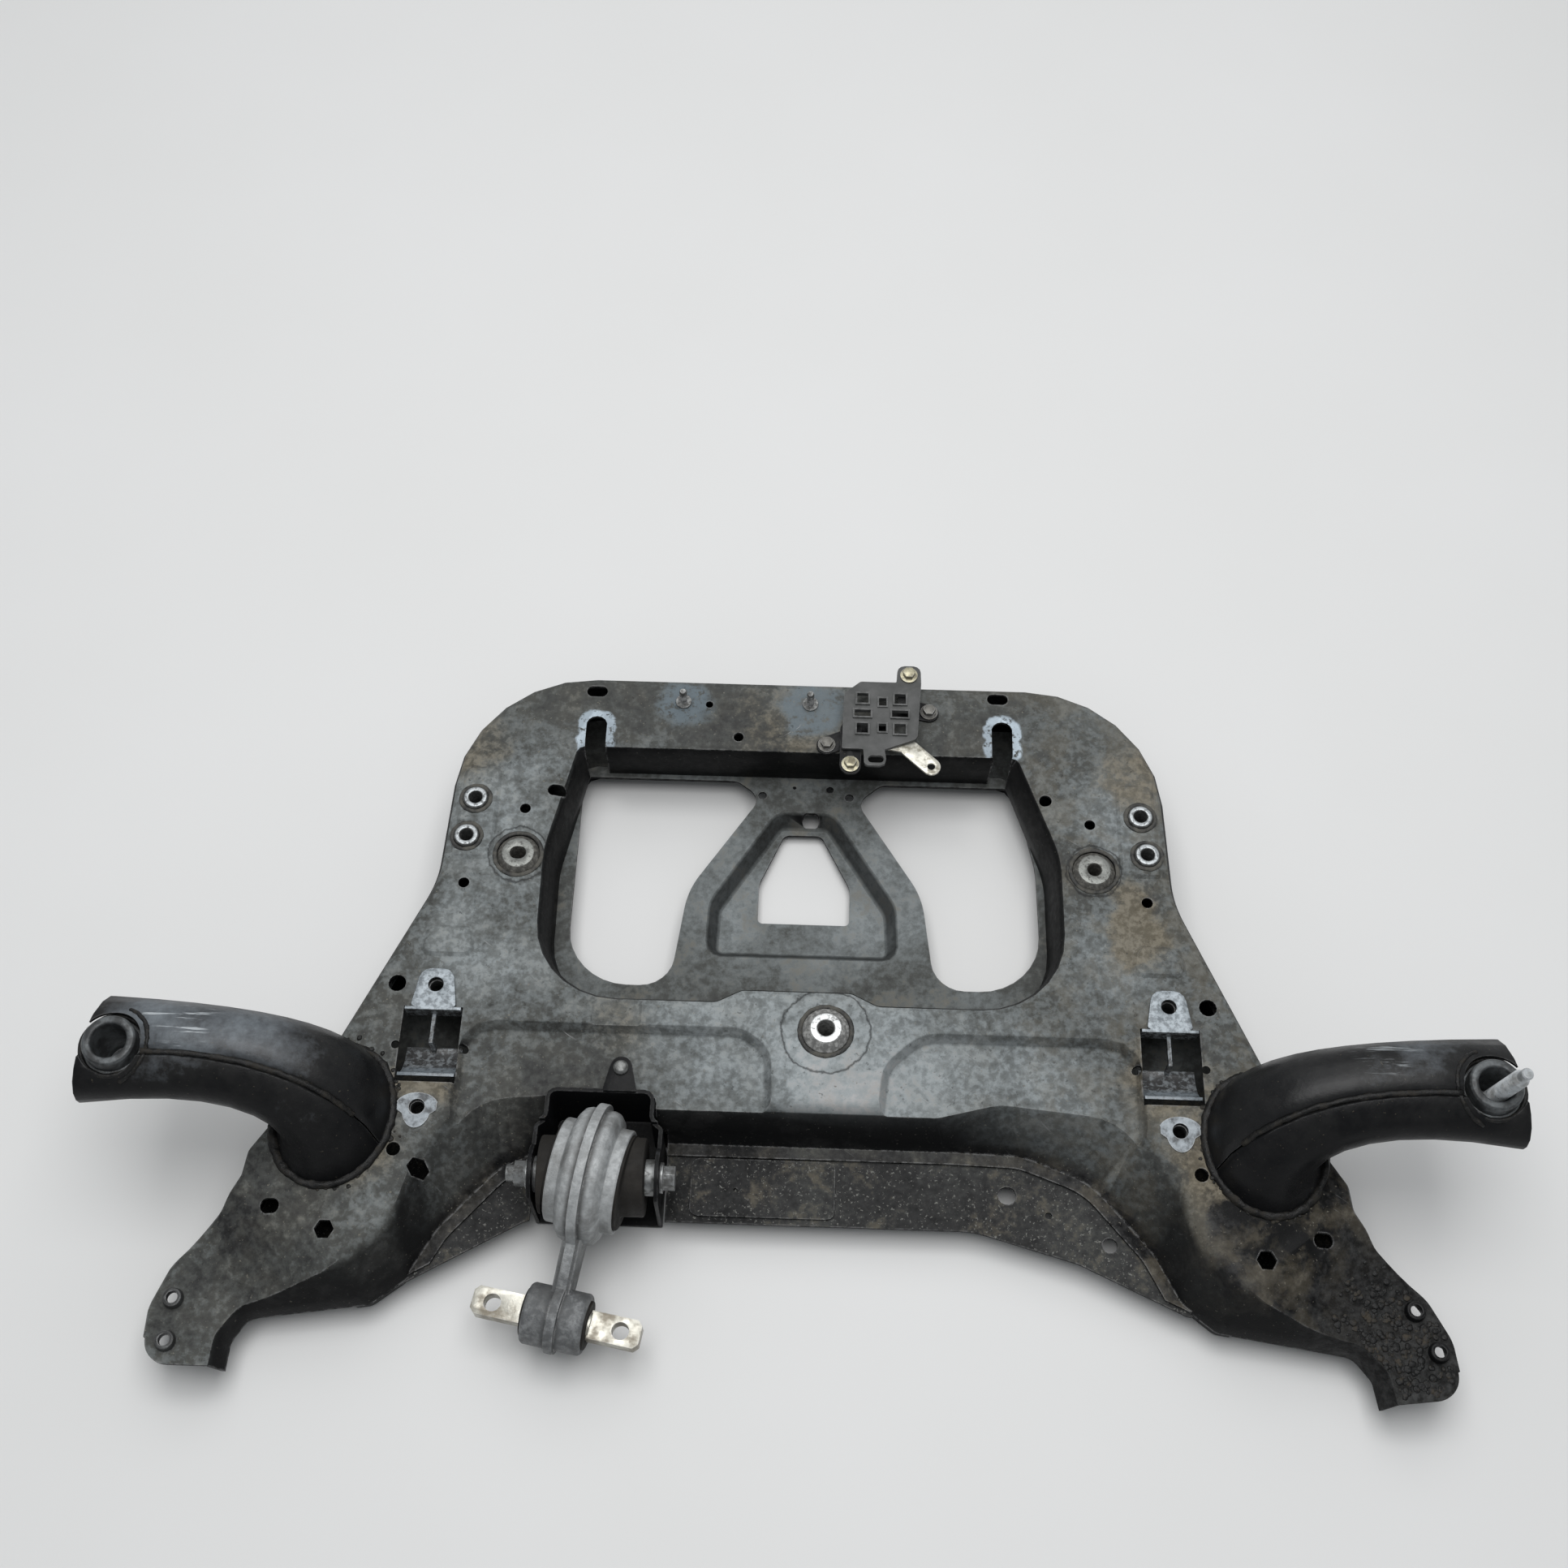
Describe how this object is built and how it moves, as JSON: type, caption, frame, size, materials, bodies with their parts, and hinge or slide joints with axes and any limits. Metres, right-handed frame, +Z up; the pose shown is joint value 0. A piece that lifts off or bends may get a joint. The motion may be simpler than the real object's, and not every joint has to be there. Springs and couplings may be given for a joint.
{
  "type": "front subframe",
  "caption": "Pressed-steel car front subframe with two upright horns, rack saddles, bolt collars and a rubber-bushed torque rod.",
  "frame": {"origin": "middle of the outline's box, on the ground under the lower shell", "axes": "+X to the part's right seen from above with the ears in front, +Y to the rear bar, +Z up"},
  "size_m": [1.0036, 0.563, 0.1869],
  "materials": {
    "black_coat": "worn satin black coat with dust",
    "bare_steel": "worn",
    "zinc": "zinc plated, dirty",
    "cast_alloy": "matte cast",
    "bush_rubber": "matte",
    "plate_plastic": "matte"
  },
  "bodies": {
    "frame": {"upper_shell": "black_coat", "lower_shell": "black_coat", "lip_doubler": "black_coat", "left_horn_front": "black_coat", "left_horn_rear": "black_coat", "right_horn_front": "black_coat", "right_horn_rear": "black_coat", "left_horn_sleeve": "black_coat", "right_horn_sleeve": "black_coat", "loose_stud": "bare_steel", "left_arm_collars": "bare_steel", "right_arm_collars": "bare_steel", "left_mount_collar": "black_coat", "right_mount_collar": "black_coat", "mid_collar": "black_coat", "left_rack_saddle": "bare_steel", "right_rack_saddle": "bare_steel", "rack_nuts": "bare_steel", "left_ear_nuts": "black_coat", "right_ear_nuts": "black_coat", "rod_bracket": "black_coat", "bracket_rivet": "bare_steel", "rod_bolt": "zinc", "rod_nut": "zinc", "bush_sleeve": "bare_steel", "rear_studs": "bare_steel", "plate_bracket": "black_coat", "connector_plate": "plate_plastic", "zinc_arm": "zinc", "plate_bolts": "zinc", "bracket_bolts": "bare_steel"},
    "torque_rod": {"torque_rod": "cast_alloy", "big_bush": "bush_rubber", "small_bush": "bush_rubber"},
    "end_bar": {"end_bar": "zinc"}
  },
  "joints": [
    {"name": "torque_rod_swing", "type": "hinge", "parent": "frame", "child": "torque_rod", "pos_m": [-0.147, -0.1435, 0.058], "axis": [1, 0, 0], "range_deg": [-5, 5], "stiffness_Nm_per_rad": 100},
    {"name": "end_bar_twist", "type": "hinge", "parent": "torque_rod", "child": "end_bar", "pos_m": [-0.16486, -0.23986, 0.034], "axis": [0.9833, -0.1822, 0], "range_deg": [-10, 10], "stiffness_Nm_per_rad": 20}
  ]
}
